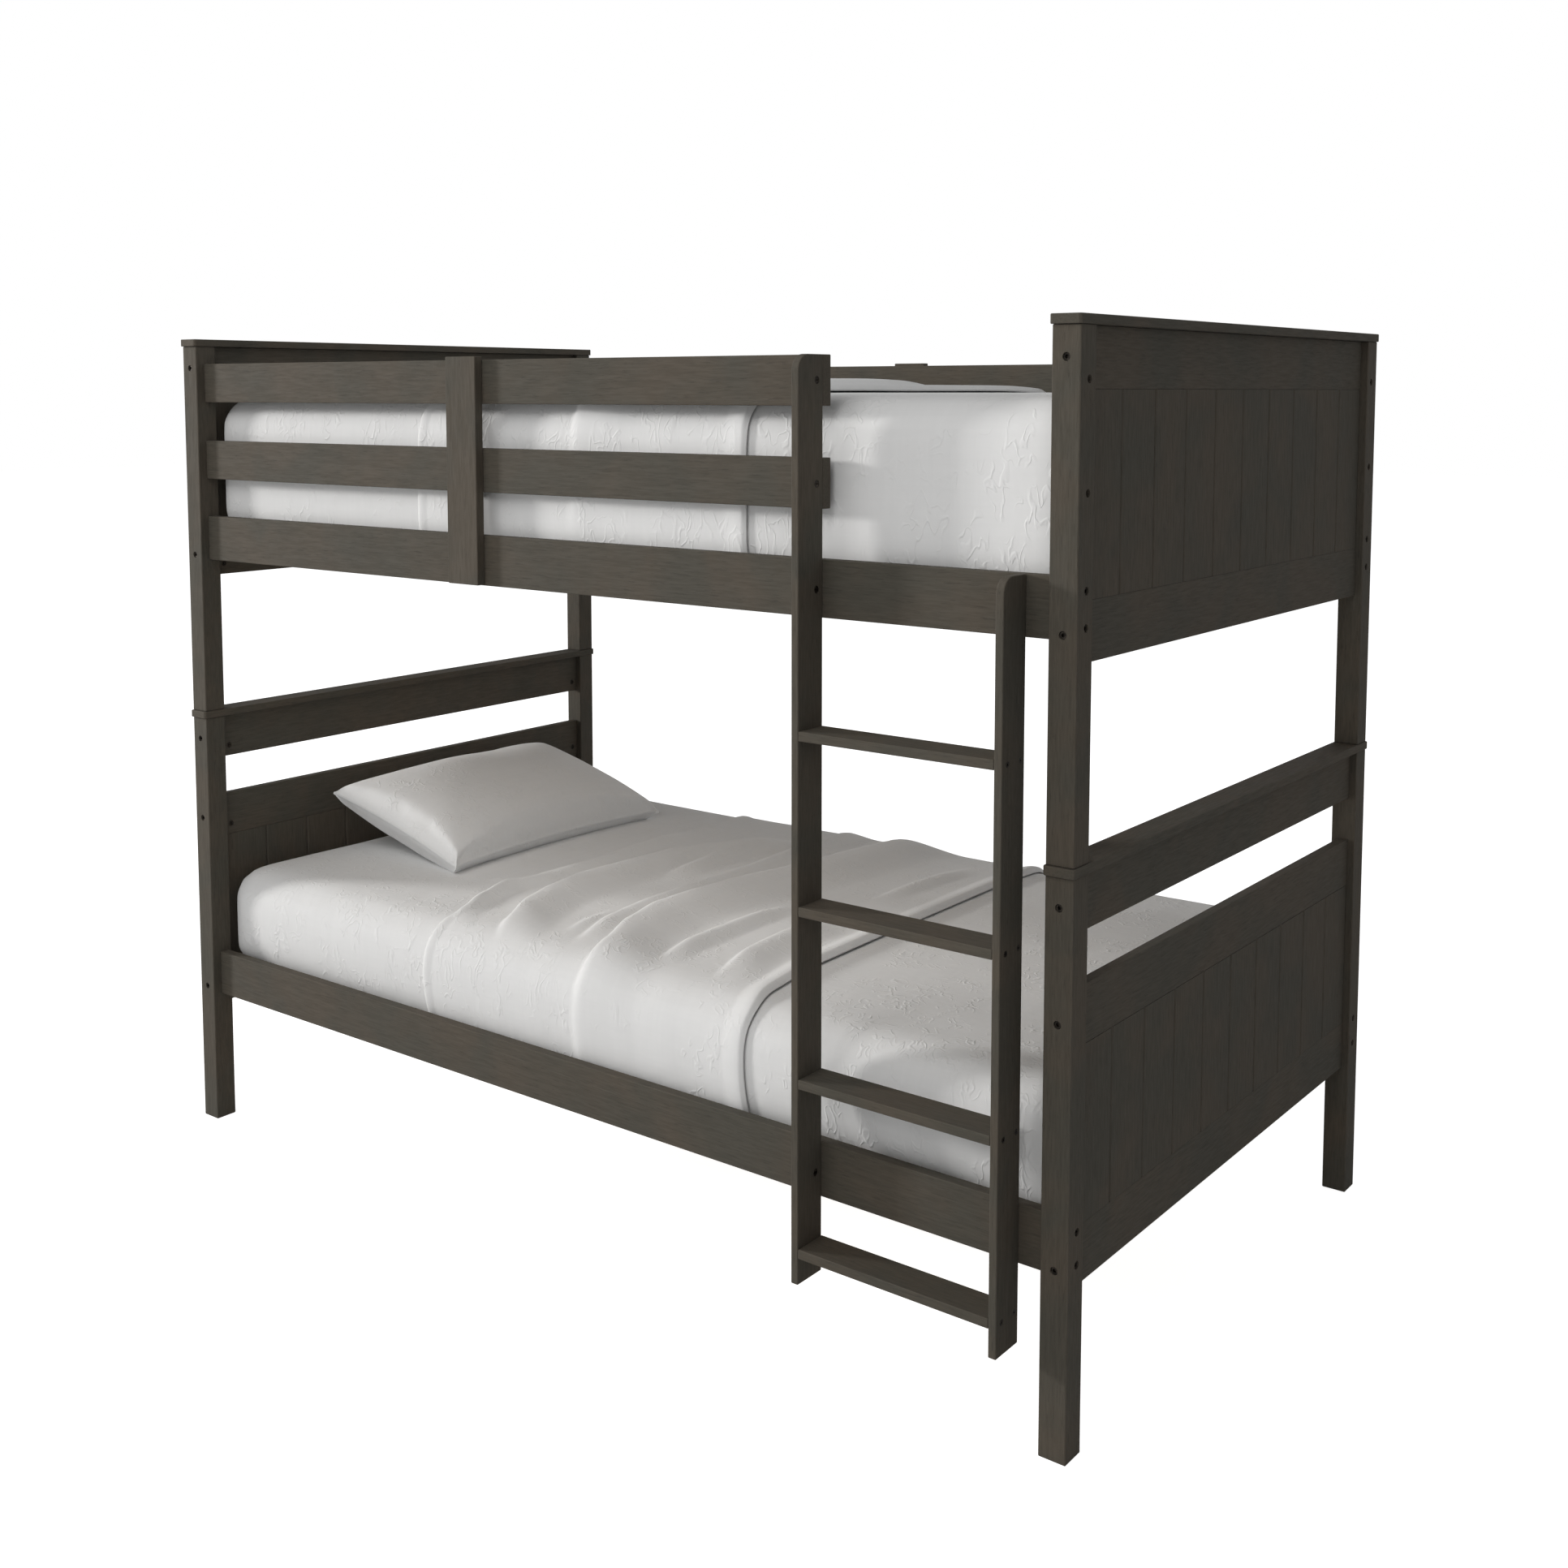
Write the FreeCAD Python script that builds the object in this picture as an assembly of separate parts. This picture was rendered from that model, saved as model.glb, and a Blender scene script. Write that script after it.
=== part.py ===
import FreeCAD, Part
import math
import os

# Stacking bunk bed with a bolted ladder.  Millimetres, +Z up, origin on the floor at the centre of
# the object's box.  X runs along the bed (head at -X, foot at +X); the ladder is on the -Y side.

os.makedirs("parts", exist_ok=True)

# ---------------------------------------------------------------- driving dimensions
bed_length = 2020.0            # outside of head posts to outside of foot posts
bed_width = 1130.0             # outside of front posts to outside of back posts
post_side = 44.0               # square post
post_edge_radius = 2.0
cap_thickness = 14.0
cap_overhang_x = 2.5           # beyond the posts along the bed
cap_overhang_y = 4.5           # beyond the posts across the bed
cap_corner_radius = 5.0
board_edge_radius = 1.6        # eased edges of rails, boards and treads

lower_post_top = 840.0         # where the middle cap sits
top_of_bed = 1606.0            # top face of the top cap

end_rail_thickness = 18.0
end_rail_inset = 13.0          # outside face of post to outside face of end rail
end_rail_height = 87.0
lower_end_rail_bottoms = {"bottom_rail": 239.5, "top_rail": 588.5, "crest_rail": 753.0}
upper_end_rail_bottoms = {"bottom_rail": 1130.0, "top_rail": 1505.0}
plank_count = 10
plank_tongue = 6.0             # thickness and depth of the tongues
plank_vee = 3.0                # leg of the chamfer that makes the vee groove
tongue_play = 0.15
groove_room = 0.5              # empty space at the bottom of a groove

side_rail_thickness = 20.0
side_rail_inset = 17.5         # outside face of post to outside face of side rail
side_rail_height = 88.0
lower_side_rail_bottom = 263.0
upper_side_rail_bottom = 1163.5
guard_board_height = 76.5
guard_board_bottoms = {"middle_board": 1327.0, "top_board": 1480.5}
guard_strap_width = 75.0
guard_strap_bottom = 1165.0
guard_strap_top = 1562.5

slat_count = 14
slat_width = 70.0
slat_thickness = 18.0
slat_edge_radius = 1.0         # eased edges of slats and cleats
slat_end_margin = 36.0         # end frame to first slat
slat_end_gap = 1.0             # slat's end to side rail
cleat_height = 22.0
cleat_width = 20.0
cleat_rise = 6.0               # bottom of side rail to bottom of cleat
cleat_end_gap = 20.0

stile_thickness = 13.0
stile_depth = 61.0
stile_bottom = 145.0
stile_corner_radius = 25.0
left_stile_x = 560.0           # head-side face of each stile
right_stile_x = 908.5
tread_thickness = 15.0
first_tread_top = 202.0
tread_spacing = 266.0
tread_count = 4

bolt_head_diameter = 10.6
bolt_head_height = 6.0
bolt_recess_diameter = 12.0
bolt_recess_depth = 8.0
bolt_shank_diameter = 6.0
bolt_hole_diameter = 6.6
bolt_socket_side = 3.2         # side of the hexagon socket
bolt_socket_depth = 3.5
bolt_reach = 24.0              # shank past the inside face of the post
insert_diameter = 9.4
insert_length = 18.0
end_bolt_drop = 3.8            # the lowest end bolts pass under the side rail bolts
side_bolt_depth = 25.0         # outside face of post to side rail bolts
side_bolt_spread = 25.4        # side rail bolts above and below the rail's middle
lowest_side_bolt_lift = 3.0    # the lowest side rail bolts pass over the end bolts
bore_spare = 1.0               # every blind hole goes on this far past its bolt or screw
cam_diameter = 12.0
cam_depth = 12.5
cam_to_post = 17.0
cam_rise = 22.0                # bottom edge of rail to cam
cam_recess = 0.8
driver_slot_width = 1.6        # slots of cams and barrel nuts
driver_slot_depth = 2.0
driver_slot_share = 0.6        # length of a slot as a share of the disc's diameter
stacking_pin_diameter = 10.0
stacking_hole_diameter = 10.8
stacking_pin_depth = 36.0      # into the lower post, down to just above the crest rail's bolt
stacking_pin_rise = 32.0       # into the upper post
stacking_pin_chamfer = 1.5
barrel_diameter = 11.6
barrel_hole_diameter = 12.0
barrel_to_rail = 15.0          # rail plane to the ladder's barrel nuts
barrel_wall = 2.0              # wood left between a barrel nut's hole and the stile's outside
barrel_play = 0.5              # behind the barrel nut in its hole
ladder_head_height = 3.0       # flat head of a ladder bolt
ladder_head_sink = 3.6         # counterbore for it in the rail's inside face
ladder_socket_side = 2.3
ladder_socket_depth = 2.0
ladder_bolt_gap = 0.3          # end of the bolt to the barrel nut
screw_head_diameter = 9.0
screw_head_height = 3.4
screw_shank_diameter = 3.6
screw_socket_side = 1.6
screw_socket_depth = 1.8
screw_hole_clearance = 0.2
wood_screw_length = 35.0
tread_screw_depths = (15.0, 50.5)

mattress_length = 1955.0
mattress_width = 1046.0
lower_mattress_top = 523.0
upper_mattress_top = 1496.0
mattress_edge_radius = 85.0
mattress_corner_radius = 90.0
soft_gap = 0.4                 # air between soft pieces and what they lie on
sheet_thickness = 3.0
sheet_start_x = -357.0
sheet_end_x = 400.0
sheet_tuck = 25.0              # how far the sheet goes down behind the side rails
pillow_centre_x = -742.0
pillow_centre_y = 62.0
pillow_half_depth = 186.0      # half of the pillow's size along the bed
pillow_half_thickness = 52.0
pillow_width = 636.0
pillow_tilt = 16.0             # degrees, propped up towards the head
pillow_rim_radius = 12.0

# ---------------------------------------------------------------- worked-out places
ladder_front_reach = stile_depth - side_rail_inset
bed_y = (ladder_front_reach - cap_overhang_y) / 2.0     # middle of the bed across the width
half_length = bed_length / 2.0
half_width = bed_width / 2.0
mid_cap_top = lower_post_top + cap_thickness
upper_post_top = top_of_bed - cap_thickness
end_rail_span = bed_width - 2.0 * post_side
side_rail_span = bed_length - 2.0 * post_side
end_frame_x = half_length - end_rail_inset - end_rail_thickness / 2.0
guard_plane = half_width - side_rail_inset              # outside face of side rails and guards
post_centre_x = half_length - post_side / 2.0
post_centre_y = half_width - post_side / 2.0
lower_slat_bottom = lower_side_rail_bottom + cleat_rise + cleat_height
upper_slat_bottom = upper_side_rail_bottom + cleat_rise + cleat_height

UP = FreeCAD.Vector(0, 0, 1)
ALONG = FreeCAD.Vector(1, 0, 0)
ACROSS = FreeCAD.Vector(0, 1, 0)
flat = 0.01                    # an edge that rises less than this is level


# ---------------------------------------------------------------- small makers
def block(x, y, z, centre_x, centre_y, bottom):
    """A plain board, centred in X and Y, standing on its bottom height; Y is from the bed's middle."""
    corner = FreeCAD.Vector(centre_x - x / 2.0, bed_y + centre_y - y / 2.0, bottom)
    return Part.makeBox(x, y, z, corner)


def eased(shape, radius=board_edge_radius):
    """Rounds every edge of a board."""
    return shape.makeFillet(radius, shape.Edges)


def rod(diameter, length, x, y, z, direction):
    """A cylinder that starts at a point; Y is from the bed's middle."""
    return Part.makeCylinder(diameter / 2.0, length, FreeCAD.Vector(x, bed_y + y, z), direction)


def stepped_hole(x, y, z, direction, through):
    """The recess for a bolt head and the clearance hole behind it."""
    recess = rod(bolt_recess_diameter, bolt_recess_depth, x, y, z, direction)
    return recess.fuse(rod(bolt_hole_diameter, through, x, y, z, direction))


def level_edges(shape):
    return [edge for edge in shape.Edges if edge.BoundBox.ZLength < flat]


def upright_edges(shape):
    return [edge for edge in shape.Edges if max(edge.BoundBox.XLength, edge.BoundBox.YLength) < flat]


def save(node, shape):
    shape.exportStep("parts/" + node + ".step")


def save_group(node, solids):
    save(node, Part.makeCompound(solids))


# ---------------------------------------------------------------- bolts and what they thread into
def socket_bolt(x, y, z, direction, grip):
    """A recessed socket bolt; x, y, z is on the post's face, direction points inwards."""
    head_start = FreeCAD.Vector(x, bed_y + y, z) + direction * (bolt_recess_depth - bolt_head_height)
    head = Part.makeCylinder(bolt_head_diameter / 2.0, bolt_head_height, head_start, direction)
    shank_length = bolt_head_height + grip - bolt_recess_depth + bolt_reach
    shank = Part.makeCylinder(bolt_shank_diameter / 2.0, shank_length, head_start, direction)
    bolt = head.fuse(shank).removeSplitter()
    return bolt.cut(hexagon(head_start, direction, bolt_socket_side, bolt_socket_depth))


def hexagon(start, direction, side, depth):
    """A hexagonal prism for a driver socket."""
    outline = Part.makePolygon(hexagon_corners(side))
    prism = Part.Face(outline).extrude(UP * depth)
    prism.Placement = FreeCAD.Placement(start, FreeCAD.Rotation(UP, direction))
    return prism


def hexagon_corners(side):
    turn = FreeCAD.Rotation(UP, 60.0)
    corners = [FreeCAD.Vector(side, 0, 0)]
    for _ in range(6):
        corners.append(turn.multVec(corners[-1]))
    return corners


def insert_nut(x, y, z, direction):
    """A threaded sleeve in a rail's end grain; x, y, z is on the rail's end."""
    sleeve = rod(insert_diameter, insert_length, x, y, z, direction)
    return sleeve.cut(rod(bolt_shank_diameter + screw_hole_clearance, insert_length, x, y, z, direction))


def insert_bore(x, y, z, direction):
    """The hole that the sleeve is pressed into, drilled on for the end of the bolt."""
    bore = rod(insert_diameter, insert_length, x, y, z, direction)
    return bore.fuse(rod(bolt_hole_diameter, bolt_reach + bore_spare, x, y, z, direction))


def driver_slot(x, y, z, inwards, across, diameter):
    """The slot for a screwdriver in the face of a disc that looks along X."""
    reach = diameter * driver_slot_share / 2.0
    half = driver_slot_width / 2.0
    start = FreeCAD.Vector(min(x, x + inwards * driver_slot_depth), bed_y + y, z)
    if across == ACROSS:
        corner = start - FreeCAD.Vector(0, reach, half)
        return Part.makeBox(driver_slot_depth, 2.0 * reach, driver_slot_width, corner)
    corner = start - FreeCAD.Vector(0, half, reach)
    return Part.makeBox(driver_slot_depth, driver_slot_width, 2.0 * reach, corner)


def cam_lock(x, y, z, direction):
    """A cam disc with a cross slot, let into the inside face of a rail."""
    disc = rod(cam_diameter - 2.0 * screw_hole_clearance, cam_depth - cam_recess, x, y, z, direction)
    for across in (ACROSS, UP):
        disc = disc.cut(driver_slot(x, y, z, direction.x, across, cam_diameter))
    return disc


def countersunk_screw(x, y, z, direction, length):
    """A wood screw with a cone head flush with the face it enters."""
    start = FreeCAD.Vector(x, bed_y + y, z)
    head = Part.makeCone(screw_head_diameter / 2.0, screw_shank_diameter / 2.0,
                         screw_head_height, start, direction)
    shank = Part.makeCylinder(screw_shank_diameter / 2.0, length, start, direction)
    screw = head.fuse(shank).removeSplitter()
    return screw.cut(hexagon(start, direction, screw_socket_side, screw_socket_depth))


def countersink(x, y, z, direction, length):
    """The hole for a countersunk screw, from its entry face."""
    start = FreeCAD.Vector(x, bed_y + y, z)
    clear = screw_hole_clearance
    head = Part.makeCone(screw_head_diameter / 2.0 + clear, screw_shank_diameter / 2.0 + clear,
                         screw_head_height + clear, start, direction)
    shank = Part.makeCylinder(screw_shank_diameter / 2.0 + clear, length + bore_spare, start, direction)
    return head.fuse(shank)


# ---------------------------------------------------------------- where every bolt goes
def end_bolt_places(rail_bottoms):
    """Heights of the bolts that hold an end frame's rails between its two posts."""
    heights = []
    for bottom in rail_bottoms.values():
        middle = bottom + end_rail_height / 2.0
        lowered = end_bolt_drop if bottom == lower_end_rail_bottoms["bottom_rail"] else 0.0
        heights.append(middle - lowered)
    return heights


def side_bolt_heights(rail_bottom):
    middle = rail_bottom + side_rail_height / 2.0
    return [middle - side_bolt_spread, middle + side_bolt_spread]


def guard_bolt_heights():
    return [bottom + guard_board_height / 2.0 for bottom in guard_board_bottoms.values()]


LEVELS = {
    "lower": {"rails": lower_end_rail_bottoms, "post_bottom": 0.0, "post_top": lower_post_top,
              "side_bottom": lower_side_rail_bottom, "guards": []},
    "upper": {"rails": upper_end_rail_bottoms, "post_bottom": mid_cap_top, "post_top": upper_post_top,
              "side_bottom": upper_side_rail_bottom, "guards": guard_bolt_heights()},
}
ENDS = {"head": -1.0, "foot": 1.0}
SIDES = {"front": -1.0, "back": 1.0}


def side_heights(level):
    heights = side_bolt_heights(LEVELS[level]["side_bottom"])
    if level == "lower":
        heights[0] += lowest_side_bolt_lift
    return heights


# ---------------------------------------------------------------- posts and caps
def post(level, end, side):
    """One square post with its bolt holes and its hole for the stacking pin."""
    here = LEVELS[level]
    sx, sy = ENDS[end], SIDES[side]
    height = here["post_top"] - here["post_bottom"]
    body = block(post_side, post_side, height, sx * post_centre_x, sy * post_centre_y, here["post_bottom"])
    body = eased(body, post_edge_radius)
    for z in end_bolt_places(here["rails"]):
        body = body.cut(stepped_hole(sx * end_frame_x, sy * half_width, z, ACROSS * -sy, post_side))
    for z in side_heights(level) + here["guards"]:
        y = sy * (half_width - side_bolt_depth)
        body = body.cut(stepped_hole(sx * half_length, y, z, ALONG * -sx, post_side))
    if level == "lower":
        start = here["post_top"] - stacking_pin_depth
        pin_hole = rod(stacking_pin_diameter, stacking_pin_depth,
                       sx * post_centre_x, sy * post_centre_y, start, UP)
    else:
        pin_hole = rod(stacking_hole_diameter, stacking_pin_rise + bore_spare,
                       sx * post_centre_x, sy * post_centre_y, here["post_bottom"], UP)
    return body.cut(pin_hole)


def cap(end, bottom, pin_holes):
    """A flat board that runs across both posts of one end."""
    sx = ENDS[end]
    x = post_side + 2.0 * cap_overhang_x
    y = bed_width + 2.0 * cap_overhang_y
    board = block(x, y, cap_thickness, sx * post_centre_x, 0.0, bottom)
    board = board.makeFillet(cap_corner_radius, upright_edges(board))
    board = board.makeFillet(board_edge_radius, level_edges(board))
    if pin_holes:
        for sy in SIDES.values():
            board = board.cut(rod(stacking_pin_diameter, cap_thickness,
                                  sx * post_centre_x, sy * post_centre_y, bottom, UP))
    return board


# ---------------------------------------------------------------- end frames
def end_rail(level, end, rail):
    """A cross rail between the two posts of one end, grooved where it takes the planks."""
    bottom = LEVELS[level]["rails"][rail]
    sx = ENDS[end]
    body = eased(block(end_rail_thickness, end_rail_span, end_rail_height, sx * end_frame_x, 0.0, bottom))
    groove_depth = plank_tongue + groove_room
    groove = block(plank_tongue, end_rail_span, groove_depth, sx * end_frame_x, 0.0, 0.0)
    if rail == "bottom_rail":
        groove.translate(UP * (bottom + end_rail_height - groove_depth))
        body = body.cut(groove)
    if rail == "top_rail":
        groove.translate(UP * bottom)
        body = body.cut(groove)
    for sy in SIDES.values():
        for z in end_bolt_places({rail: bottom}):
            body = body.cut(insert_bore(sx * end_frame_x, sy * end_rail_span / 2.0, z, ACROSS * -sy))
        cam_y = sy * (end_rail_span / 2.0 - cam_to_post)
        cam_x = sx * (end_frame_x - end_rail_thickness / 2.0)
        body = body.cut(rod(cam_diameter, cam_depth, cam_x, cam_y, bottom + cam_rise, ALONG * sx))
    return body


def planks(level, end):
    """Ten upright tongue-and-groove planks, with a vee where two planks meet."""
    sx = ENDS[end]
    rails = LEVELS[level]["rails"]
    low = rails["bottom_rail"] + end_rail_height
    high = rails["top_rail"]
    pitch = end_rail_span / plank_count
    made = []
    for index in range(plank_count):
        y = -end_rail_span / 2.0 + pitch * (index + 0.5)
        board = block(end_rail_thickness, pitch, high - low, sx * end_frame_x, y, low)
        board = board.makeChamfer(plank_vee, upright_edges(board))
        ends = block(plank_tongue, pitch, high - low + 2.0 * plank_tongue,
                     sx * end_frame_x, y, low - plank_tongue)
        board = board.fuse(ends)
        if index < plank_count - 1:
            tongue = block(plank_tongue, plank_tongue, high - low, sx * end_frame_x,
                           y + pitch / 2.0 + plank_tongue / 2.0, low)
            board = board.fuse(tongue)
        if index > 0:
            groove = block(plank_tongue + 2.0 * tongue_play, plank_tongue + tongue_play,
                           high - low + 2.0 * (plank_tongue + groove_room), sx * end_frame_x,
                           y - pitch / 2.0 + (plank_tongue + tongue_play) / 2.0,
                           low - plank_tongue - groove_room)
            board = board.cut(groove)
        made.append(board.removeSplitter())
    return made


# ---------------------------------------------------------------- side rails, cleats and slats
def side_rail(level, side):
    sy = SIDES[side]
    bottom = LEVELS[level]["side_bottom"]
    y = sy * (guard_plane - side_rail_thickness / 2.0)
    body = eased(block(side_rail_span, side_rail_thickness, side_rail_height, 0.0, y, bottom))
    for sx in ENDS.values():
        for z in side_heights(level):
            body = body.cut(insert_bore(sx * side_rail_span / 2.0, sy * (half_width - side_bolt_depth),
                                        z, ALONG * -sx))
    return body


def slat_cleats(level):
    """The strips along the inside of both side rails that carry the slats."""
    bottom = LEVELS[level]["side_bottom"] + cleat_rise
    y = guard_plane - side_rail_thickness - cleat_width / 2.0
    length = side_rail_span - 2.0 * cleat_end_gap
    return [eased(block(length, cleat_width, cleat_height, 0.0, sy * y, bottom), slat_edge_radius)
            for sy in SIDES.values()]


def slats(level):
    bottom = LEVELS[level]["side_bottom"] + cleat_rise + cleat_height
    length = 2.0 * (guard_plane - side_rail_thickness - slat_end_gap)
    first = -(end_frame_x - end_rail_thickness / 2.0) + slat_end_margin + slat_width / 2.0
    pitch = -2.0 * first / (slat_count - 1)
    return [eased(block(slat_width, length, slat_thickness, first + index * pitch, 0.0, bottom),
                  slat_edge_radius)
            for index in range(slat_count)]


# ---------------------------------------------------------------- guards
guard_end_x = left_stile_x + stile_thickness            # the front guards stop at the ladder


def guard_board(side, which):
    sy = SIDES[side]
    start = -side_rail_span / 2.0
    end = guard_end_x if side == "front" else side_rail_span / 2.0
    y = sy * (guard_plane - side_rail_thickness / 2.0)
    bottom = guard_board_bottoms[which]
    body = eased(block(end - start, side_rail_thickness, guard_board_height,
                       (start + end) / 2.0, y, bottom))
    z = bottom + guard_board_height / 2.0
    bolt_y = sy * (half_width - side_bolt_depth)
    body = body.cut(insert_bore(start, bolt_y, z, ALONG))
    if side == "back":
        body = body.cut(insert_bore(end, bolt_y, z, ALONG * -1.0))
    return body


def strap_x(side):
    """The strap stands at the middle of the guard boards that it joins."""
    return (guard_end_x - side_rail_span / 2.0) / 2.0 if side == "front" else 0.0


def guard_strap(side):
    """The upright that ties the two guard boards to the side rail, on their outside."""
    sy = SIDES[side]
    y = sy * (guard_plane + side_rail_inset / 2.0)
    height = guard_strap_top - guard_strap_bottom
    return eased(block(guard_strap_width, side_rail_inset, height, strap_x(side), y, guard_strap_bottom))


def strap_screw_places(side):
    """One screw through the middle of each board that the strap ties, from the inside."""
    sy = SIDES[side]
    y = sy * (guard_plane - side_rail_thickness)
    heights = {"side_rail": upper_side_rail_bottom + side_rail_height / 2.0}
    for which, bottom in guard_board_bottoms.items():
        heights[which] = bottom + guard_board_height / 2.0
    return {board: (strap_x(side), y, z, ACROSS * sy) for board, z in heights.items()}


# ---------------------------------------------------------------- ladder
stile_front_y = -(guard_plane + stile_depth)
stile_middle_y = -(guard_plane + stile_depth / 2.0)
STILES = {
    "left": {"x": left_stile_x, "top": guard_board_bottoms["top_board"] + guard_board_height,
             "inside": 1.0},
    "right": {"x": right_stile_x, "top": upper_side_rail_bottom + side_rail_height, "inside": -1.0},
}
ladder_bolt_heights = {
    "left": guard_bolt_heights() + [upper_side_rail_bottom + side_rail_height / 2.0],
    "right": [upper_side_rail_bottom + side_rail_height / 2.0],
}
lower_rail_middle = lower_side_rail_bottom + side_rail_height / 2.0


def tread_tops():
    return [first_tread_top + tread_spacing * index for index in range(tread_count)]


def stile(which):
    """A thin deep side of the ladder, rounded at its top front corner."""
    here = STILES[which]
    height = here["top"] - stile_bottom
    middle_x = here["x"] + stile_thickness / 2.0
    body = block(stile_thickness, stile_depth, height, middle_x, stile_middle_y, stile_bottom)
    corner = [edge for edge in level_edges(body)
              if edge.BoundBox.ZMin > here["top"] - flat and edge.BoundBox.YMax < bed_y + stile_middle_y]
    body = body.makeFillet(stile_corner_radius, corner)
    body = body.makeFillet(board_edge_radius, body.Edges)
    inside_x = middle_x + here["inside"] * stile_thickness / 2.0
    for z in ladder_bolt_heights[which] + [lower_rail_middle]:
        body = body.cut(rod(barrel_hole_diameter, stile_thickness - barrel_wall, inside_x,
                            -(guard_plane + barrel_to_rail), z, ALONG * -here["inside"]))
        body = body.cut(rod(bolt_hole_diameter, barrel_to_rail, middle_x, -guard_plane, z, ACROSS * -1.0))
    for top in tread_tops():
        for x, y, z in tread_screw_points(which, top):
            body = body.cut(countersink(x, y, z, ALONG * here["inside"], stile_thickness))
    return body


def tread_screw_points(which, top):
    """Where the two screws of a tread enter a stile, on its outside face."""
    here = STILES[which]
    outside_x = here["x"] + stile_thickness * (1.0 - here["inside"]) / 2.0
    return [(outside_x, stile_front_y + depth, top - tread_thickness / 2.0) for depth in tread_screw_depths]


def tread(top):
    """A flat step between the stiles, as deep as they are."""
    start = left_stile_x + stile_thickness
    body = block(right_stile_x - start, stile_depth, tread_thickness,
                 (start + right_stile_x) / 2.0, stile_middle_y, top - tread_thickness)
    body = eased(body)
    for which, here in STILES.items():
        for x, y, z in tread_screw_points(which, top):
            body = body.cut(rod(screw_shank_diameter + 2.0 * screw_hole_clearance,
                                wood_screw_length + bore_spare, x, y, z, ALONG * here["inside"]))
    return body


def ladder_bolt_hole(x, z):
    """A clear hole through a rail or guard board, counterbored from the inside for the bolt's head."""
    hole = rod(bolt_hole_diameter, side_rail_thickness, x, -guard_plane, z, ACROSS)
    inner_y = -(guard_plane - side_rail_thickness)
    return hole.fuse(rod(bolt_recess_diameter, ladder_head_sink, x, inner_y, z, ACROSS * -1.0))


def barrel_nut(which, z):
    """A slotted barrel nut, let into the inside face of a stile."""
    here = STILES[which]
    inside_x = here["x"] + stile_thickness * (1.0 + here["inside"]) / 2.0
    start_x = inside_x - here["inside"] * cam_recess
    length = stile_thickness - barrel_wall - barrel_play - cam_recess
    y = -(guard_plane + barrel_to_rail)
    barrel = rod(barrel_diameter, length, start_x, y, z, ALONG * -here["inside"])
    return barrel.cut(driver_slot(start_x, y, z, -here["inside"], ACROSS, barrel_diameter))


def ladder_bolt(which, z):
    """The bolt that comes to a barrel nut from the inside of the rail or guard board."""
    middle_x = STILES[which]["x"] + stile_thickness / 2.0
    seat_y = -(guard_plane - side_rail_thickness + ladder_head_sink)
    seat = FreeCAD.Vector(middle_x, bed_y + seat_y, z)
    head = Part.makeCylinder(bolt_head_diameter / 2.0, ladder_head_height, seat, ACROSS)
    reach = side_rail_thickness - ladder_head_sink + barrel_to_rail - barrel_diameter / 2.0
    shank = Part.makeCylinder(bolt_shank_diameter / 2.0, reach - ladder_bolt_gap, seat, ACROSS * -1.0)
    bolt = head.fuse(shank).removeSplitter()
    top = seat + ACROSS * ladder_head_height
    return bolt.cut(hexagon(top, ACROSS * -1.0, ladder_socket_side, ladder_socket_depth))


# ---------------------------------------------------------------- mattresses and bedding
def cushion_block(length, width, bottom, top, x, y, edge, corner):
    """A closed slab with rounded upright corners and rounded rims."""
    body = block(length, width, top - bottom, x, y, bottom)
    body = body.makeFillet(corner, upright_edges(body))
    return body.makeFillet(edge, level_edges(body))


def mattress(level, top):
    bottom = LEVELS[level]["side_bottom"] + cleat_rise + cleat_height + slat_thickness + soft_gap
    return cushion_block(mattress_length, mattress_width, bottom, top, 0.0, 0.0,
                         mattress_edge_radius, mattress_corner_radius)


def top_sheet(level, top):
    """The folded sheet that lies over the middle of the mattress and is tucked down its sides."""
    bottom = LEVELS[level]["side_bottom"] + cleat_rise + cleat_height + slat_thickness + soft_gap
    grow = soft_gap + sheet_thickness
    inner = cushion_block(mattress_length + 2 * soft_gap, mattress_width + 2 * soft_gap,
                          bottom - soft_gap, top + soft_gap, 0.0, 0.0,
                          mattress_edge_radius + soft_gap, mattress_corner_radius + soft_gap)
    outer = cushion_block(mattress_length + 2 * grow, mattress_width + 2 * grow,
                          bottom - grow, top + grow, 0.0, 0.0,
                          mattress_edge_radius + grow, mattress_corner_radius + grow)
    tuck = LEVELS[level]["side_bottom"] + side_rail_height - sheet_tuck
    span = sheet_end_x - sheet_start_x
    window = block(span, bed_width, top + 2 * grow - tuck, (sheet_start_x + sheet_end_x) / 2.0, 0.0, tuck)
    return outer.cut(inner).common(window)


def pillow():
    """A lens-shaped pillow, propped against the head end and lying on the mattress."""
    tilt = math.radians(pillow_tilt)
    sink = math.hypot(pillow_half_depth * math.sin(tilt), pillow_half_thickness * math.cos(tilt))
    start_y = bed_y + pillow_centre_y - pillow_width / 2.0
    centre = FreeCAD.Vector(pillow_centre_x, start_y, lower_mattress_top + soft_gap + sink)
    foot_tip = centre + FreeCAD.Vector(math.cos(tilt), 0, -math.sin(tilt)) * pillow_half_depth
    crown = centre + FreeCAD.Vector(math.sin(tilt), 0, math.cos(tilt)) * pillow_half_thickness
    outline = Part.Wire([Part.Ellipse(foot_tip, crown, centre).toShape()])
    body = Part.Face(outline).extrude(ACROSS * pillow_width)
    rims = [edge for edge in body.Edges if edge.BoundBox.YLength < flat]
    return body.makeFillet(pillow_rim_radius, rims)


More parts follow.
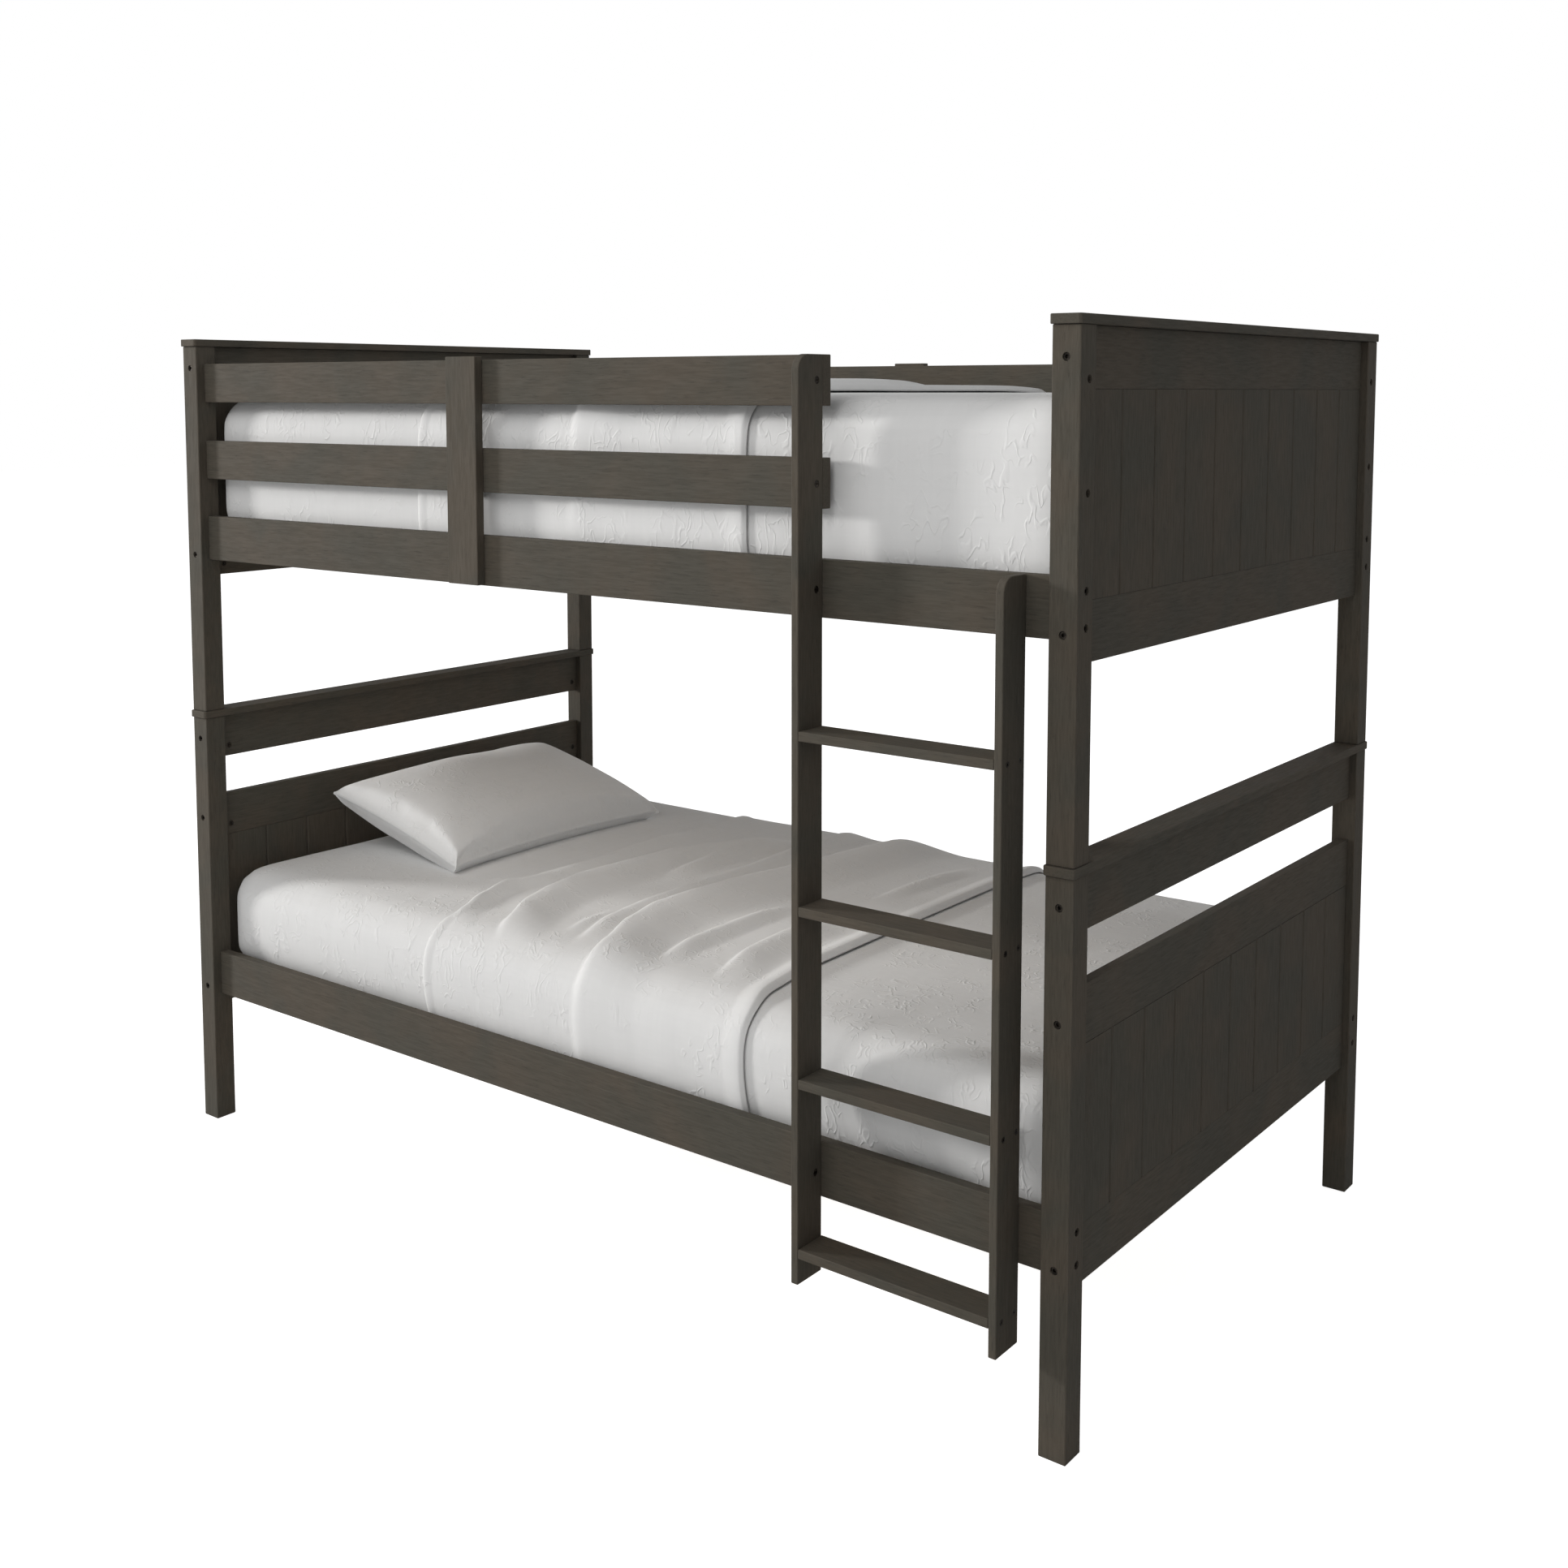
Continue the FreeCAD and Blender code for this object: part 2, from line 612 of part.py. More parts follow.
# ---------------------------------------------------------------- writing every node
for end in ENDS:
    for side in SIDES:
        for level in LEVELS:
            save(end + "_" + side + "_" + level + "_post", post(level, end, side))
    save(end + "_middle_cap", cap(end, lower_post_top, True))
    save(end + "_top_cap", cap(end, upper_post_top, False))
    for level in LEVELS:
        for rail in LEVELS[level]["rails"]:
            save(end + "_" + level + "_" + rail, end_rail(level, end, rail))
        save_group(end + "_" + level + "_planks", planks(level, end))

for level in LEVELS:
    for side in SIDES:
        rail = side_rail(level, side)
        if level == "upper":
            rail = rail.cut(countersink(*strap_screw_places(side)["side_rail"], wood_screw_length))
        if side == "front":
            rail_middle = LEVELS[level]["side_bottom"] + side_rail_height / 2.0
            for here in STILES.values():
                rail = rail.cut(ladder_bolt_hole(here["x"] + stile_thickness / 2.0, rail_middle))
        save(side + "_" + level + "_side_rail", rail)
    save_group(level + "_slat_cleats", slat_cleats(level))
    save_group(level + "_slats", slats(level))

for side in SIDES:
    screw_places = strap_screw_places(side)
    for which, bottom in guard_board_bottoms.items():
        board = guard_board(side, which).cut(countersink(*screw_places[which], wood_screw_length))
        if side == "front":
            board_middle = bottom + guard_board_height / 2.0
            board = board.cut(ladder_bolt_hole(left_stile_x + stile_thickness / 2.0, board_middle))
        save(side + "_guard_" + which, board)
    strap = guard_strap(side)
    for x, y, z, direction in screw_places.values():
        strap = strap.cut(rod(screw_shank_diameter + 2.0 * screw_hole_clearance,
                              wood_screw_length + bore_spare, x, y, z, direction))
    save(side + "_guard_strap", strap)

for level in LEVELS:
    here = LEVELS[level]
    bolts, inserts, cams = [], [], []
    for end, sx in ENDS.items():
        for side, sy in SIDES.items():
            for rail, bottom in here["rails"].items():
                for z in end_bolt_places({rail: bottom}):
                    bolts.append(socket_bolt(sx * end_frame_x, sy * half_width, z,
                                             ACROSS * -sy, post_side))
                    inserts.append(insert_nut(sx * end_frame_x, sy * end_rail_span / 2.0, z,
                                              ACROSS * -sy))
                cam_x = sx * (end_frame_x - end_rail_thickness / 2.0 + cam_recess)
                cam_y = sy * (end_rail_span / 2.0 - cam_to_post)
                cams.append(cam_lock(cam_x, cam_y, bottom + cam_rise, ALONG * sx))
            open_holes = end == "foot" and side == "front"
            guards = [] if open_holes else here["guards"]
            for z in side_heights(level) + guards:
                y = sy * (half_width - side_bolt_depth)
                bolts.append(socket_bolt(sx * half_length, y, z, ALONG * -sx, post_side))
                inserts.append(insert_nut(sx * side_rail_span / 2.0, y, z, ALONG * -sx))
    save_group(level + "_frame_bolts", bolts)
    save_group(level + "_insert_nuts", inserts)
    save_group(level + "_cam_locks", cams)

pins = []
for sx in ENDS.values():
    for sy in SIDES.values():
        length = stacking_pin_depth + cap_thickness + stacking_pin_rise
        pin = rod(stacking_pin_diameter, length, sx * post_centre_x, sy * post_centre_y,
                  lower_post_top - stacking_pin_depth, UP)
        top_rim = [edge for edge in level_edges(pin) if edge.BoundBox.ZMin > mid_cap_top]
        pins.append(pin.makeChamfer(stacking_pin_chamfer, top_rim))
save_group("stacking_pins", pins)

for which in STILES:
    save("ladder_" + which + "_stile", stile(which))
for index, top in enumerate(tread_tops()):
    save("ladder_tread_" + str(index + 1), tread(top))

ladder_bolts, wood_screws = [], []
for which, here in STILES.items():
    for z in ladder_bolt_heights[which]:
        ladder_bolts += [barrel_nut(which, z), ladder_bolt(which, z)]
    ladder_bolts.append(barrel_nut(which, lower_rail_middle))
    for top in tread_tops():
        for x, y, z in tread_screw_points(which, top):
            wood_screws.append(countersunk_screw(x, y, z, ALONG * here["inside"], wood_screw_length))
for side in SIDES:
    for x, y, z, direction in strap_screw_places(side).values():
        wood_screws.append(countersunk_screw(x, y, z, direction, wood_screw_length))
save_group("ladder_bolts", ladder_bolts)
save_group("wood_screws", wood_screws)

save("lower_mattress", mattress("lower", lower_mattress_top))
save("upper_mattress", mattress("upper", upper_mattress_top))
save("lower_top_sheet", top_sheet("lower", lower_mattress_top))
save("upper_top_sheet", top_sheet("upper", upper_mattress_top))
save("pillow", pillow())
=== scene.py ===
import bpy
import bmesh
import math
from mathutils import Matrix, Vector, noise


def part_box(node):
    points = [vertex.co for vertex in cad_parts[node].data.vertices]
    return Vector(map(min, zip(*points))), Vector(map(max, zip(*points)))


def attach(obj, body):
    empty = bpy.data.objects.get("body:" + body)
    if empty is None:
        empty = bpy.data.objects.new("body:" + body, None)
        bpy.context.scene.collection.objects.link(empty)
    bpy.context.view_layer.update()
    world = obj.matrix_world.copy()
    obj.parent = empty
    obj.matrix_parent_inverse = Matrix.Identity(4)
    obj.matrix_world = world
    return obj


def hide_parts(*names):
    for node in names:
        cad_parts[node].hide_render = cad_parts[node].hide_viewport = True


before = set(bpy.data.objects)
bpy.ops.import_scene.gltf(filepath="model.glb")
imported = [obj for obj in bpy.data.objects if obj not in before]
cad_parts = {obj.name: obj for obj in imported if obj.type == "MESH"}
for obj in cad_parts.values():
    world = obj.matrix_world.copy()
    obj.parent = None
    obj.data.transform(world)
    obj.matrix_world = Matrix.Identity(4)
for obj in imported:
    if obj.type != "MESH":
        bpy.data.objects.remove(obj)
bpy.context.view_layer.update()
bpy.ops.object.select_all(action="DESELECT")

# ------------------------------------------------------------------ camera
# A stacking bunk bed is looked at from in front of its foot end's near corner, at the height of the
# upper mattress's top.  The lens is a normal one, tipped down by five degrees.
eye = Vector((2.14622, -2.67269, 1.50140))
tip_down, turn_left = 5.025, 37.509
camera_data = bpy.data.cameras.new("camera")
camera_data.sensor_width = 36.0
camera_data.lens = 40.982
camera_data.shift_y = -0.15
camera = bpy.data.objects.new("camera", camera_data)
camera.location = eye
camera.rotation_euler = (math.radians(90.0 - tip_down), 0.0, math.radians(turn_left))
bpy.context.collection.objects.link(camera)
bpy.context.scene.camera = camera
bpy.context.scene.view_settings.view_transform = "Standard"


# ------------------------------------------------------------------ studio
# The bed stands on a plain pale studio floor, lit from far left by a fairly small lamp that throws
# soft-edged shadows, and from the front by a wide one.  A pale sky, dimmer overhead, does the rest.
def add_node(tree, kind, **sockets):
    """A shader node with some of its sockets set by name."""
    node = tree.nodes.new(kind)
    for name, value in sockets.items():
        node.inputs[name.replace("_", " ")].default_value = value
    return node


def new_material(name):
    """An empty node material with its output."""
    material = bpy.data.materials.new(name)
    material.use_nodes = True
    material.node_tree.nodes.clear()
    material.node_tree.nodes.new("ShaderNodeOutputMaterial")
    return material


def lamp(name, place, aim, size, watts, tint):
    """A square soft lamp that looks at a point."""
    data = bpy.data.lights.new(name, "AREA")
    data.size = size
    data.energy = watts
    data.color = tint
    thing = bpy.data.objects.new(name, data)
    thing.location = place
    thing.rotation_euler = (Vector(aim) - Vector(place)).to_track_quat("-Z", "Y").to_euler()
    bpy.context.collection.objects.link(thing)


lamp("key_lamp", (-12.6, -5.6, 3.8), (0.0, 0.0, 0.9), 1.7, 1150.0, (1.0, 0.985, 0.965))
lamp("front_lamp", (0.4, -5.0, 5.6), (0.0, 0.0, 0.8), 4.5, 165.0, (1.0, 0.99, 0.975))
lamp("back_lamp", (0.5, 5.5, 3.0), (0.0, 0.0, 0.9), 3.0, 35.0, (0.97, 0.985, 1.0))

sky = bpy.data.worlds.new("studio_sky")
sky.use_nodes = True
sky_tree = sky.node_tree
sky_tree.nodes.clear()
sky_fill = add_node(sky_tree, "ShaderNodeBackground", Color=(0.98, 0.99, 1.0, 1.0))
sky_direction = sky_tree.nodes.new("ShaderNodeTexCoord")
sky_height = sky_tree.nodes.new("ShaderNodeSeparateXYZ")
sky_dim = add_node(sky_tree, "ShaderNodeMapRange", From_Min=0.0, From_Max=0.85, To_Min=0.60, To_Max=0.10)
sky_tree.links.new(sky_direction.outputs["Generated"], sky_height.inputs[0])
sky_tree.links.new(sky_height.outputs[2], sky_dim.inputs["Value"])
sky_tree.links.new(sky_dim.outputs["Result"], sky_fill.inputs["Strength"])
sky_seen = add_node(sky_tree, "ShaderNodeBackground", Color=(1.0, 1.0, 1.0, 1.0), Strength=1.0)
sky_rays = sky_tree.nodes.new("ShaderNodeLightPath")
sky_mix = sky_tree.nodes.new("ShaderNodeMixShader")
sky_out = sky_tree.nodes.new("ShaderNodeOutputWorld")
sky_tree.links.new(sky_rays.outputs["Is Camera Ray"], sky_mix.inputs[0])
sky_tree.links.new(sky_fill.outputs[0], sky_mix.inputs[1])
sky_tree.links.new(sky_seen.outputs[0], sky_mix.inputs[2])
sky_tree.links.new(sky_mix.outputs[0], sky_out.inputs[0])
bpy.context.scene.world = sky

bpy.ops.mesh.primitive_plane_add(size=60.0)
floor = bpy.context.object
floor.name = "studio_floor"
floor_paint = new_material("pale_floor")
floor_tree = floor_paint.node_tree
floor_matt = add_node(floor_tree, "ShaderNodeBsdfDiffuse", Color=(0.80, 0.80, 0.80, 1.0))
floor_glow = add_node(floor_tree, "ShaderNodeEmission", Strength=0.87)
floor_rays = floor_tree.nodes.new("ShaderNodeLightPath")
floor_dark = add_node(floor_tree, "ShaderNodeEmission", Strength=0.0)
floor_mix = floor_tree.nodes.new("ShaderNodeMixShader")
floor_sum = floor_tree.nodes.new("ShaderNodeAddShader")
floor_tree.links.new(floor_rays.outputs["Is Camera Ray"], floor_mix.inputs[0])
floor_tree.links.new(floor_dark.outputs[0], floor_mix.inputs[1])
floor_tree.links.new(floor_glow.outputs[0], floor_mix.inputs[2])
floor_tree.links.new(floor_matt.outputs[0], floor_sum.inputs[0])
floor_tree.links.new(floor_mix.outputs[0], floor_sum.inputs[1])
floor_tree.links.new(floor_sum.outputs[0], floor_tree.nodes["Material Output"].inputs[0])
floor.data.materials.append(floor_paint)


# ------------------------------------------------------------------ stained woodwork
# Posts, end frames, rails, guards and ladder are solid rubberwood, stained a dark grey-brown and
# sealed with a satin lacquer.  The grain runs along each board and shows as fine dark open pores.
def new_group(name, inputs, outputs):
    """A node group with named float or vector inputs and float outputs."""
    tree = bpy.data.node_groups.new(name, "ShaderNodeTree")
    for label, kind, value in inputs:
        made = tree.interface.new_socket(label, in_out="INPUT", socket_type=kind)
        made.default_value = value
    for label in outputs:
        tree.interface.new_socket(label, in_out="OUTPUT", socket_type="NodeSocketFloat")
    return tree, tree.nodes.new("NodeGroupInput"), tree.nodes.new("NodeGroupOutput")


def sum_up(tree, kind, first, second):
    """A maths node whose inputs are sockets or numbers."""
    node = tree.nodes.new("ShaderNodeMath")
    node.operation = kind
    for place, value in enumerate((first, second)):
        if isinstance(value, (int, float)):
            node.inputs[place].default_value = value
        elif value is not None:
            tree.links.new(value, node.inputs[place])
    return node.outputs[0]


def stretch(tree, position, factors):
    """The position squeezed along one axis, so that a pattern gets long in that direction."""
    node = tree.nodes.new("ShaderNodeVectorMath")
    node.operation = "MULTIPLY"
    tree.links.new(position, node.inputs[0])
    if isinstance(factors, tuple):
        node.inputs[1].default_value = factors
    else:
        tree.links.new(factors, node.inputs[1])
    return node.outputs[0]


def cloud(tree, position, scale, detail, roughness=0.5, distortion=0.0):
    """A noise pattern's value at a position."""
    node = add_node(tree, "ShaderNodeTexNoise", Scale=scale, Detail=detail,
                    Roughness=roughness, Distortion=distortion)
    tree.links.new(position, node.inputs["Vector"])
    return node.outputs["Fac"]


def remap(tree, value, low, high, bottom=0.0, top=1.0):
    """A value range spread to another range, smoothly and with both ends held."""
    node = tree.nodes.new("ShaderNodeMapRange")
    node.interpolation_type = "SMOOTHSTEP"
    node.inputs["From Min"].default_value = low
    node.inputs["From Max"].default_value = high
    node.inputs["To Min"].default_value = bottom
    node.inputs["To Max"].default_value = top
    tree.links.new(value, node.inputs["Value"])
    return node.outputs["Result"]


def blend_colours(tree, amount, first, second, kind="MIX"):
    """Two colours mixed by an amount; each is a socket or a colour."""
    node = tree.nodes.new("ShaderNodeMix")
    node.data_type = "RGBA"
    node.blend_type = kind
    for socket, value in ((node.inputs[0], amount), (node.inputs[6], first), (node.inputs[7], second)):
        if isinstance(value, (tuple, float)):
            socket.default_value = value
        else:
            tree.links.new(value, socket)
    return node.outputs[2]


grain_tree, grain_in, grain_out = new_group(
    "board_grain",
    [("Position", "NodeSocketVector", (0.0, 0.0, 0.0)), ("Along", "NodeSocketVector", (1.0, 1.0, 1.0))],
    ["Tone", "Streak", "Pore"])
grain_place = stretch(grain_tree, grain_in.outputs["Position"], grain_in.outputs["Along"])
grain_tone = cloud(grain_tree, grain_in.outputs["Position"], 6.5, 3.0, 0.5, 0.5)
grain_tree.links.new(grain_tone, grain_out.inputs["Tone"])
grain_tree.links.new(cloud(grain_tree, grain_place, 300.0, 3.0, 0.6, 0.2), grain_out.inputs["Streak"])
grain_pores = cloud(grain_tree, grain_place, 480.0, 2.0, 0.5, 0.1)
grain_tree.links.new(remap(grain_tree, grain_pores, 0.60, 0.70), grain_out.inputs["Pore"])

# Mask of the rounded edges, in patches, where the stain is lightened: a painted highlight where the edges
# catch the light, and partly stain worn thin.
highlight_rub_tree, highlight_rub_in, highlight_rub_out = new_group(
    "edge_highlight_and_rub", [("Position", "NodeSocketVector", (0.0, 0.0, 0.0))], ["Mask"])
highlight_rub_normal = highlight_rub_tree.nodes.new("ShaderNodeNewGeometry")
highlight_rub_size = highlight_rub_tree.nodes.new("ShaderNodeVectorMath")
highlight_rub_size.operation = "ABSOLUTE"
highlight_rub_tree.links.new(highlight_rub_normal.outputs["True Normal"], highlight_rub_size.inputs[0])
highlight_rub_parts = highlight_rub_tree.nodes.new("ShaderNodeSeparateXYZ")
highlight_rub_tree.links.new(highlight_rub_size.outputs[0], highlight_rub_parts.inputs[0])
highlight_rub_most = sum_up(highlight_rub_tree, "MAXIMUM", highlight_rub_parts.outputs[0], highlight_rub_parts.outputs[1])
highlight_rub_most = sum_up(highlight_rub_tree, "MAXIMUM", highlight_rub_most, highlight_rub_parts.outputs[2])
highlight_rub_round = remap(highlight_rub_tree, sum_up(highlight_rub_tree, "SUBTRACT", 1.0, highlight_rub_most), 0.02, 0.22)
highlight_rub_patch = remap(highlight_rub_tree, cloud(highlight_rub_tree, highlight_rub_in.outputs["Position"], 14.0, 3.0), 0.35, 0.65, 0.35, 1.0)
highlight_rub_tree.links.new(sum_up(highlight_rub_tree, "MULTIPLY", highlight_rub_round, highlight_rub_patch), highlight_rub_out.inputs["Mask"])


def place_group(tree, group, position):
    """A group node fed with the piece's own coordinates."""
    node = tree.nodes.new("ShaderNodeGroup")
    node.node_tree = group
    tree.links.new(position, node.inputs["Position"])
    return node


def bump(tree, height, strength, distance, below=None):
    """A bump from a height, on top of another bump if there is one."""
    node = add_node(tree, "ShaderNodeBump", Strength=strength, Distance=distance)
    tree.links.new(height, node.inputs["Height"])
    if below is not None:
        tree.links.new(below, node.inputs["Normal"])
    return node.outputs[0]


warm_stain = (0.082, 0.067, 0.049, 1.0)
cool_stain = (0.067, 0.061, 0.047, 1.0)
pore_stain = (0.026, 0.022, 0.018, 1.0)
# Lighter stain for the rounded edges: a painted highlight, and partly stain worn thin.
highlight_and_rubbed_stain = (0.120, 0.102, 0.083, 1.0)


def stained_wood(name, along, shift):
    """Dark grey-brown stain over open grain that runs along one axis."""
    material = new_material(name)
    tree = material.node_tree
    coordinates = tree.nodes.new("ShaderNodeTexCoord")
    mapping = tree.nodes.new("ShaderNodeMapping")
    mapping.inputs["Location"].default_value = shift
    tree.links.new(coordinates.outputs["Object"], mapping.inputs["Vector"])
    grain = place_group(tree, grain_tree, mapping.outputs[0])
    grain.inputs["Along"].default_value = along
    highlight_rub = place_group(tree, highlight_rub_tree, mapping.outputs[0])
    tone = remap(tree, grain.outputs["Tone"], 0.32, 0.68)
    colour = blend_colours(tree, tone, cool_stain, warm_stain)
    streaked = remap(tree, grain.outputs["Streak"], 0.30, 0.70, 0.93, 1.07)
    shade = tree.nodes.new("ShaderNodeCombineColor")
    for channel in range(3):
        tree.links.new(streaked, shade.inputs[channel])
    colour = blend_colours(tree, 1.0, colour, shade.outputs[0], "MULTIPLY")
    pores = sum_up(tree, "MULTIPLY", grain.outputs["Pore"], 0.30)
    colour = blend_colours(tree, pores, colour, pore_stain)
    # The rounded edges are lightened towards the lighter stain: a painted highlight where they catch the
    # light, partly stain worn thin.
    highlight_rub_amount = sum_up(tree, "MULTIPLY", highlight_rub.outputs["Mask"], 0.35)
    colour = blend_colours(tree, highlight_rub_amount, colour, highlight_and_rubbed_stain)
    surface = add_node(tree, "ShaderNodeBsdfPrincipled", Specular_IOR_Level=0.45)
    tree.links.new(colour, surface.inputs["Base Color"])
    sheen = remap(tree, grain.outputs["Streak"], 0.25, 0.75, 0.90, 0.80)
    tree.links.new(sheen, surface.inputs["Roughness"])
    relief = sum_up(tree, "SUBTRACT", sum_up(tree, "MULTIPLY", grain.outputs["Streak"], 0.5),
                    grain.outputs["Pore"])
    tree.links.new(bump(tree, relief, 0.25, 0.0006), surface.inputs["Normal"])
    tree.links.new(surface.outputs[0], tree.nodes["Material Output"].inputs[0])
    return material


def finish_nodes(names, material):
    """Gives CAD pieces their finish."""
    for name in names:
        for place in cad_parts[name].material_slots:
            place.material = material


posts, planks, caps, end_rails = [], [], [], []
for node_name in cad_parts:
    if node_name.endswith("_post"):
        posts.append(node_name)
    if node_name.endswith("_planks"):
        planks.append(node_name)
    if node_name.endswith("_cap"):
        caps.append(node_name)
    if node_name.startswith(("head_", "foot_")) and node_name.endswith("_rail"):
        end_rails.append(node_name)

long_x = (0.08, 1.0, 1.0)
long_y = (1.0, 0.08, 1.0)
long_z = (1.0, 1.0, 0.08)
finish_nodes(posts, stained_wood("stained_posts", long_z, (0.0, 0.0, 0.0)))
finish_nodes(planks, stained_wood("stained_planks", long_z, (0.31, 0.0, 0.0)))
finish_nodes(caps + end_rails, stained_wood("stained_end_frames", long_y, (0.0, 0.0, 0.7)))

# The side rails and guard boards join the two ends, with a wide upright strap at the middle of each
# pair of guard boards.  They are the same stained wood, with the grain running along the bed.
sides = [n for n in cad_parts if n.startswith(("front_", "back_")) and n.endswith(("_rail", "_board"))]
straps = [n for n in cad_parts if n.endswith("_strap")]
finish_nodes(sides, stained_wood("stained_side_boards", long_x, (0.0, 0.4, 0.0)))
finish_nodes(straps, stained_wood("stained_straps", long_z, (0.2, 0.0, 0.0)))

# The ladder has two thin deep stiles bolted to the outside of the rails, and four flat treads
# between them, screwed through the stiles.
stiles = [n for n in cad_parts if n.endswith("_stile")]
treads = [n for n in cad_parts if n.startswith("ladder_tread")]
finish_nodes(stiles, stained_wood("stained_stiles", long_z, (0.5, 0.2, 0.0)))
finish_nodes(treads, stained_wood("stained_treads", long_x, (0.0, 0.0, 0.3)))


# ------------------------------------------------------------------ slats and cleats
# Fourteen bare planed pine slats lie across each bunk, on pine cleats screwed inside the side rails.
# They are unfinished, so the growth rings show as soft yellow and orange-brown lines.
def bare_pine(name, along):
    """Planed softwood with soft growth lines that run along one axis."""
    material = new_material(name)
    tree = material.node_tree
    coordinates = tree.nodes.new("ShaderNodeTexCoord")
    grain = place_group(tree, grain_tree, coordinates.outputs["Object"])
    grain.inputs["Along"].default_value = along
    early_wood, late_wood = (0.62, 0.44, 0.24, 1.0), (0.44, 0.27, 0.12, 1.0)
    sapwood = (0.66, 0.52, 0.33, 1.0)
    rings = cloud(tree, stretch(tree, coordinates.outputs["Object"], along), 60.0, 3.0, 0.6, 1.5)
    colour = blend_colours(tree, remap(tree, rings, 0.35, 0.65), early_wood, late_wood)
    pale = remap(tree, grain.outputs["Tone"], 0.3, 0.7, 0.0, 0.35)
    colour = blend_colours(tree, pale, colour, sapwood)
    surface = add_node(tree, "ShaderNodeBsdfPrincipled")
    tree.links.new(colour, surface.inputs["Base Color"])
    planed = remap(tree, grain.outputs["Streak"], 0.25, 0.75, 0.72, 0.58)
    tree.links.new(planed, surface.inputs["Roughness"])
    tree.links.new(bump(tree, grain.outputs["Streak"], 0.3, 0.0005), surface.inputs["Normal"])
    tree.links.new(surface.outputs[0], tree.nodes["Material Output"].inputs[0])
    return material


finish_nodes(["lower_slats", "upper_slats"], bare_pine("pine_slats", long_y))
finish_nodes(["lower_slat_cleats", "upper_slat_cleats"], bare_pine("pine_cleats", long_x))


# ------------------------------------------------------------------ bolts, cams, screws and pins
# Socket bolts with black oxide heads sit in drilled recesses, with cam locks inside the end rails.
# The pins between the bunks and the insert nuts in the rails' end grain are zinc-plated steel.
def steel(name, colour, rough, scuff):
    """Coated steel, a little dull and scuffed in patches."""
    material = new_material(name)
    tree = material.node_tree
    coordinates = tree.nodes.new("ShaderNodeTexCoord")
    grime = cloud(tree, coordinates.outputs["Object"], 240.0, 4.0, 0.6)
    surface = add_node(tree, "ShaderNodeBsdfPrincipled", Metallic=1.0)
    tree.links.new(blend_colours(tree, remap(tree, grime, 0.35, 0.75), colour, scuff),
                   surface.inputs["Base Color"])
    tree.links.new(remap(tree, grime, 0.3, 0.7, rough, rough + 0.2), surface.inputs["Roughness"])
    tree.links.new(bump(tree, grime, 0.15, 0.0003), surface.inputs["Normal"])
    tree.links.new(surface.outputs[0], tree.nodes["Material Output"].inputs[0])
    return material


black_bolts = steel("black_oxide_steel", (0.030, 0.027, 0.024, 1.0), 0.38, (0.10, 0.085, 0.07, 1.0))
zinc = steel("zinc_plated_steel", (0.62, 0.62, 0.60, 1.0), 0.30, (0.50, 0.49, 0.44, 1.0))
finish_nodes(["lower_frame_bolts", "upper_frame_bolts", "lower_cam_locks", "upper_cam_locks",
              "ladder_bolts", "wood_screws"], black_bolts)
finish_nodes(["lower_insert_nuts", "upper_insert_nuts", "stacking_pins"], zinc)


# ------------------------------------------------------------------ mattresses
# Each bunk has a foam mattress in a fitted off-white cotton sheet, pulled tight over its rounded
# corners and tucked underneath.  It lies on the slats and almost fills the frame.
weave_tree, weave_in, weave_out = new_group(
    "cotton_weave", [("Position", "NodeSocketVector", (0.0, 0.0, 0.0))], ["Thread", "Slub"])
weave_place = weave_in.outputs["Position"]
weave_across = cloud(weave_tree, stretch(weave_tree, weave_place, (1.0, 0.08, 0.08)), 900.0, 2.0)
weave_along = cloud(weave_tree, stretch(weave_tree, weave_place, (0.08, 1.0, 1.0)), 900.0, 2.0)
weave_tree.links.new(sum_up(weave_tree, "ADD", weave_across, weave_along), weave_out.inputs["Thread"])
slub_across = cloud(weave_tree, stretch(weave_tree, weave_place, (1.0, 0.06, 0.06)), 110.0, 3.0)
slub_along = cloud(weave_tree, stretch(weave_tree, weave_place, (0.06, 1.0, 1.0)), 110.0, 3.0)
weave_tree.links.new(sum_up(weave_tree, "MULTIPLY", slub_across, slub_along), weave_out.inputs["Slub"])

crease_tree, crease_in, crease_out = new_group(
    "pressed_creases", [("Position", "NodeSocketVector", (0.0, 0.0, 0.0))], ["Height"])
crease_place = stretch(crease_tree, crease_in.outputs["Position"], (1.0, 1.0, 0.55))
crease_lines = cloud(crease_tree, crease_place, 52.0, 1.0, 0.4, 0.7)
crease_away = sum_up(crease_tree, "ABSOLUTE", sum_up(crease_tree, "SUBTRACT", crease_lines, 0.5), None)
crease_sharp = remap(crease_tree, crease_away, 0.0, 0.065, 1.0, 0.0)
crease_patch = remap(crease_tree, cloud(crease_tree, crease_in.outputs["Position"], 11.0, 2.0), 0.38, 0.56)
crease_short = remap(crease_tree, cloud(crease_tree, crease_place, 24.0, 1.0), 0.40, 0.56)
crease_soft = cloud(crease_tree, crease_in.outputs["Position"], 9.0, 2.0, 0.5, 0.6)
crease_marks = sum_up(crease_tree, "MULTIPLY", sum_up(crease_tree, "MULTIPLY", crease_sharp, crease_patch),
                      crease_short)
crease_all = sum_up(crease_tree, "ADD", sum_up(crease_tree, "MULTIPLY", crease_marks, 0.38), crease_soft)
crease_tree.links.new(crease_all, crease_out.inputs["Height"])


